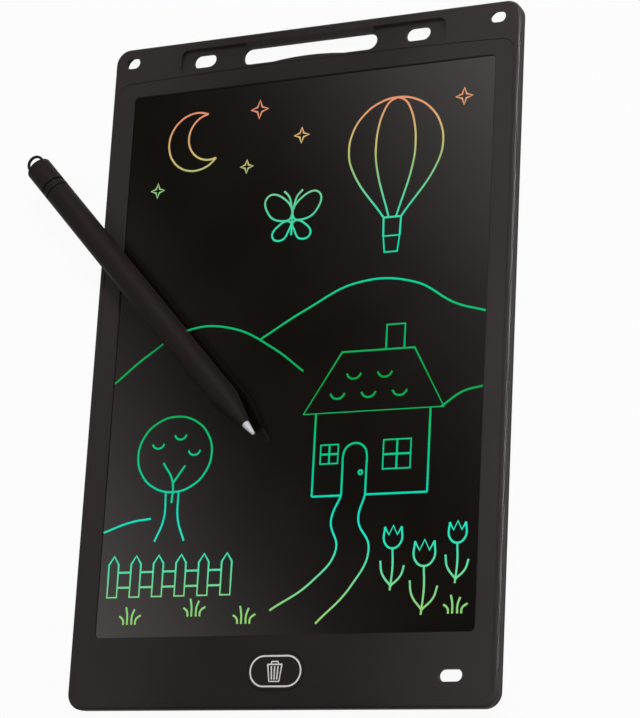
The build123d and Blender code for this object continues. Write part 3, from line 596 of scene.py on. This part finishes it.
# tulips and grass
flowers = drawing("tulips_and_grass")
for x, y, size in ((42.0, -68.0, 1.0), (54.0, -74.0, 1.15), (66.0, -67.0, 0.95)):
    def bloom(points):
        return [(x + size * a, y + size * b) for a, b in points]
    stroke(flowers, bloom([(-3.2, 4.2), (-3.0, -1.4), (0.0, -3.4), (3.0, -1.4), (3.2, 4.2)]))
    straight(flowers, bloom([(-3.2, 4.2), (-1.6, 1.4), (0.0, 4.6), (1.6, 1.4), (3.2, 4.2)]))
    stroke(flowers, bloom([(0.0, -3.4), (0.3, -10.0), (-0.4, -18.0)]))
    stroke(flowers, bloom([(-0.2, -16.5), (-3.6, -12.0), (-4.4, -7.6)]))
    stroke(flowers, bloom([(-0.2, -16.5), (3.4, -13.0), (4.6, -9.4)]))
TUFTS = ((-60.0, -96.0), (-34.0, -93.5), (-14.0, -96.5), (66.0, -94.5))
BLADES = ((-2.4, -4.2, 3.2), (-0.9, -1.6, 6.4), (0.9, 1.9, 5.6), (2.4, 4.6, 3.4))
BEND_OUT, BEND_UP = 1.1, 0.55
for x, y in TUFTS:
    for foot, tip_x, tip_y in BLADES:
        stroke(flowers, [(x + foot, y), (x + foot * BEND_OUT, y + tip_y * BEND_UP),
                         (x + tip_x, y + tip_y)])

# Stylus
# Turned and moulded satin black ABS: tail cap with a cord loop, long tube,
# pressed-in cone, and a white acetal nib that does the writing.
stylus_plastic = charcoal("stylus_plastic", rgb(29, 22, 21), rgb(35, 28, 27), 0.5,
                          grain=0.6, shine=0.07)
coat(["stylus_barrel", "stylus_tail", "stylus_cone"], stylus_plastic)
TUBE_EDGE, TAIL_EDGE = 0.2, 0.15


def soften(piece, width):
    """Breaks the sharp edges of a piece, by width millimetres."""
    edges = piece.modifiers.new("edges", "BEVEL")
    edges.width = width * MM
    edges.segments = 2
    edges.limit_method = "ANGLE"


for name in ("stylus_barrel", "stylus_cone"):
    soften(nodes[name], TUBE_EDGE)

TAIL_AT = (-114.62, 84.39, 10.0)
STYLUS_TURN = -47.81
at_tail = (Matrix.Translation([c * MM for c in TAIL_AT])
           @ Matrix.Rotation(math.radians(STYLUS_TURN), 4, "Z"))
WELD = 0.01


def tail_piece(name, points, faces, rounded):
    """A closed piece of the stylus's tail, with round sides or turned flat ones."""
    mesh = bpy.data.meshes.new(name)
    mesh.from_pydata(points, [], faces)
    skin = bmesh.new()
    skin.from_mesh(mesh)
    bmesh.ops.remove_doubles(skin, verts=skin.verts, dist=WELD * MM)
    bmesh.ops.recalc_face_normals(skin, faces=skin.faces)
    for face in skin.faces:
        face.smooth = rounded and len(face.verts) == 4
    skin.to_mesh(mesh)
    skin.free()
    mesh.transform(at_tail)
    mesh.materials.append(stylus_plastic)
    piece = put(name, mesh)
    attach(piece, "stylus")
    return piece


CAP_START, CAP_END, CAP_RADIUS, CAP_EDGE = 5.9, 17.6, 4.95, 0.2
EDGE_STEP = 0.1
SEAM_START, SEAM_DEPTH = 16.8, 0.6
SPIGOT_RADIUS, SPIGOT_END = 3.7, 26.0
CAP_SIDES = 72
rings = [
    (CAP_START, 0.0),
    (CAP_START, CAP_RADIUS - CAP_EDGE),
    (CAP_START + EDGE_STEP, CAP_RADIUS - CAP_EDGE * 0.5),
    (CAP_START + CAP_EDGE, CAP_RADIUS),
    (SEAM_START, CAP_RADIUS),
    (SEAM_START, CAP_RADIUS - SEAM_DEPTH),
    (CAP_END, CAP_RADIUS - SEAM_DEPTH),
    (CAP_END, SPIGOT_RADIUS),
    (SPIGOT_END, SPIGOT_RADIUS),
    (SPIGOT_END, 0.0),
]
points, faces = [], []
for station, radius in rings:
    for i in range(CAP_SIDES):
        turn = 2 * math.pi * i / CAP_SIDES
        points.append((station * MM, radius * math.cos(turn) * MM, radius * math.sin(turn) * MM))
for ring_index in range(len(rings) - 1):
    near, far = ring_index * CAP_SIDES, (ring_index + 1) * CAP_SIDES
    for i in range(CAP_SIDES):
        after = (i + 1) % CAP_SIDES
        faces.append((near + i, near + after, far + after, far + i))
tail_cap = tail_piece("tail_cap", points, faces, rounded=False)
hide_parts("stylus_tail")
soften(tail_cap, TAIL_EDGE)

LOOP_HALF, LOOP_WIRE, LOOP_RISE = 3.1, 1.05, 0.7
LOOP_SIDES = 14
LOOP_BITE = 0.6
eye_middle = LOOP_WIRE / 2 + LOOP_HALF
eye_root = CAP_START + LOOP_BITE
halfway = (eye_root + eye_middle) / 2
eye_path = ([(eye_root, LOOP_HALF), (halfway, LOOP_HALF)]
            + arc((eye_middle, 0), LOOP_HALF, 90, 270, 25)
            + [(halfway, -LOOP_HALF), (eye_root, -LOOP_HALF)])
points, faces = [], []
for i, (along, aside) in enumerate(eye_path):
    before, after = eye_path[max(i - 1, 0)], eye_path[min(i + 1, len(eye_path) - 1)]
    way = Vector((after[0] - before[0], after[1] - before[1])).normalized()
    for k in range(LOOP_SIDES):
        turn = 2 * math.pi * k / LOOP_SIDES
        out, up = math.cos(turn) * LOOP_WIRE / 2, math.sin(turn) * LOOP_RISE
        points.append(((along - way.y * out) * MM, (aside + way.x * out) * MM, up * MM))
for i in range(len(eye_path) - 1):
    near, far = i * LOOP_SIDES, (i + 1) * LOOP_SIDES
    for k in range(LOOP_SIDES):
        beside = (k + 1) % LOOP_SIDES
        faces.append((near + k, near + beside, far + beside, far + k))
last = (len(eye_path) - 1) * LOOP_SIDES
faces.append(tuple(reversed(range(LOOP_SIDES))))
faces.append(tuple(range(last, last + LOOP_SIDES)))
tail_piece("cord_eye", points, faces, rounded=True)

NIB_RUB = 0.0006
nib_plastic, shader, place = start("nib_plastic")
rub = place.noise(NIB_RUB, 3.0)
dress(shader,
      Base_Color=rub.between(0.3, 0.75).blend(rgb(236, 233, 237), rgb(247, 245, 248)),
      Roughness=rub * 0.1 + 0.4,
      Subsurface_Weight=0.1,
      Subsurface_Scale=0.001,
      Normal=rub.bump(strength=0.15, depth=0.00001))
coat(["stylus_nib"], nib_plastic)

# Table and room
# A plain pale table in a pale room. To the camera and in shiny plastic it shows
# nearly white, with only a trace of the object's shadow.
WHITE, BLACK = (1.0, 1.0, 1.0, 1.0), (0.0, 0.0, 0.0, 1.0)
PAPER = (0.93, 0.93, 0.93, 1.0)
SEEN_WHITE = 0.94
REACH = 6.0
TABLE_GAP = 0.0001


def seen(tree):
    """1 for what the camera sees, also by way of a gloss or clear sheet, and 0 otherwise."""
    rays = tree.nodes.new("ShaderNodeLightPath").outputs
    found = Wire(tree, rays["Is Camera Ray"])
    for ray in ("Is Glossy Ray", "Is Transmission Ray"):
        found = found.sum("MAXIMUM", found, Wire(tree, rays[ray]))
    return found


def glow(tree, colour, strength):
    """A surface that gives off light of its own."""
    lit = tree.nodes.new("ShaderNodeEmission")
    lit.inputs["Color"].default_value = colour
    lit.inputs["Strength"].default_value = strength
    return lit


floor_mesh = bpy.data.meshes.new("floor")
floor_mesh.from_pydata([(-REACH, -REACH, 0), (REACH, -REACH, 0), (REACH, REACH, 0),
                        (-REACH, REACH, 0)], [], [(0, 1, 2, 3)])
floor = put("floor", floor_mesh)
floor.location.z = -TABLE_GAP
floor_paint, tree, surface = blank("floor_paint")
paper = tree.nodes.new("ShaderNodeBsdfDiffuse")
paper.inputs["Color"].default_value = PAPER
join = tree.nodes.new("ShaderNodeMixShader")
tree.links.new((seen(tree) * SEEN_WHITE).socket, join.inputs[0])
tree.links.new(paper.outputs[0], join.inputs[1])
tree.links.new(glow(tree, WHITE, 1.0).outputs[0], join.inputs[2])
tree.links.new(join.outputs[0], surface)
floor_mesh.materials.append(floor_paint)

ROOM_LIGHT = 0.3
world = bpy.data.worlds.new("studio")
world.use_nodes = True
tree = world.node_tree
room = tree.nodes["Background"]
room.inputs["Color"].default_value = WHITE
room_strength = seen(tree) * (1 - ROOM_LIGHT) + ROOM_LIGHT
tree.links.new(room_strength.socket, room.inputs["Strength"])
bpy.context.scene.world = world

# Lamps and cards
# A glowing ceiling card, and a dark flag on the stylus's far side, which only
# shiny plastic mirrors. A soft lamp beyond the handle end lights the whole, and
# a narrow beam along the right edge makes its glint.
CARD_TINT = (1.0, 0.93, 0.93, 1.0)


def card(name, centre, across, along, strength, shade=None):
    """A flat card that the camera doesn't see: dark felt, or a soft panel of light."""
    mesh = bpy.data.meshes.new(name)
    w, d = across / 2, along / 2
    mesh.from_pydata([(-w, -d, 0), (-w, d, 0), (w, d, 0), (w, -d, 0)], [], [(0, 1, 2, 3)])
    piece = put(name, mesh)
    piece.location = centre
    piece.visible_camera = False
    piece.visible_diffuse = False
    paint, tree, surface = blank(name)
    lit = glow(tree, CARD_TINT, strength)
    tree.links.new(lit.outputs[0], surface)
    if shade:
        place = Wire(tree, tree.nodes.new("ShaderNodeTexCoord").outputs["Object"])
        tree.links.new(shade(place).blend(BLACK, CARD_TINT).socket, lit.inputs["Color"])
    mesh.materials.append(paint)
    return piece


CEILING_AT, CEILING_SIZE, CEILING_GLOW = (0.0, 0.0, 1.4), 3.2, 2.2
DARK_LINE_X, DARK_LINE_Y = -0.702, 0.425
ACROSS_X, ACROSS_Y = 0.817, 0.577
RISE_START, RISE_END, RISE_CURVE = 0.02, 0.468, 1.4


def ceiling_shade(place):
    """Dark along the line that the screen's middle mirrors, rising to a glow on both sides."""
    away = (place.x - DARK_LINE_X) * ACROSS_X + (place.y - DARK_LINE_Y) * ACROSS_Y
    return abs(away).between(RISE_START, RISE_END) ** RISE_CURVE


card("ceiling", CEILING_AT, CEILING_SIZE, CEILING_SIZE, CEILING_GLOW, ceiling_shade)

FLAG_AT, FLAG_ACROSS, FLAG_ALONG, FLAG_GLOW = (-0.85, -0.75, 0.35), 1.8, 1.0, 0.02
FLAG_FACES = Vector((0, 0, 0.1))
flag = card("flag", FLAG_AT, FLAG_ACROSS, FLAG_ALONG, FLAG_GLOW)
flag.rotation_euler = (FLAG_FACES - flag.location).to_track_quat("Z", "Y").to_euler()


def lamp(name, place, target, size, power):
    """A soft rectangular lamp at a place, turned to its target."""
    light = bpy.data.lights.new(name, "AREA")
    light.shape = "RECTANGLE"
    light.size, light.size_y = size
    light.energy = power
    holder = put(name, light)
    holder.location = place
    holder.rotation_euler = (Vector(target) - Vector(place)).to_track_quat("-Z", "Y").to_euler()
    return holder


lamp("key_light", place=(0.45, 0.9, 1.4), target=(0, 0, 0), size=(0.8, 0.8), power=23.0)
BEAM_SPREAD = 3.0
edge_light = lamp("edge_light", place=(1.39, 0.41, 0.68), target=(0.095, 0, 0.004),
                  size=(0.6, 0.05), power=0.85)
edge_light.data.spread = math.radians(BEAM_SPREAD)
edge_light.visible_diffuse = False

# Camera
# At the photograph's place, with the photograph's framing, found from the
# tablet's outline and screen edges.
SENSOR_WIDTH, LENS = 36.0, 126.967
CAMERA_AT = Vector((0.392993, -0.231967, 0.787731))
TOWARDS_CAMERA = Vector((0.424231, -0.255094, 0.868881)).normalized()
PICTURE_UP = Vector((0.063063, 0.965496, 0.252668))
camera_data = bpy.data.cameras.new("camera")
camera_data.sensor_width = SENSOR_WIDTH
camera_data.lens = LENS
camera = put("camera", camera_data)
picture_right = PICTURE_UP.cross(TOWARDS_CAMERA).normalized()
picture_up = TOWARDS_CAMERA.cross(picture_right)
axes = Matrix((picture_right, picture_up, TOWARDS_CAMERA)).transposed()
camera.matrix_world = Matrix.Translation(CAMERA_AT) @ axes.to_4x4()
bpy.context.scene.camera = camera
bpy.context.scene.view_settings.view_transform = "Standard"

bpy.context.view_layer.update()
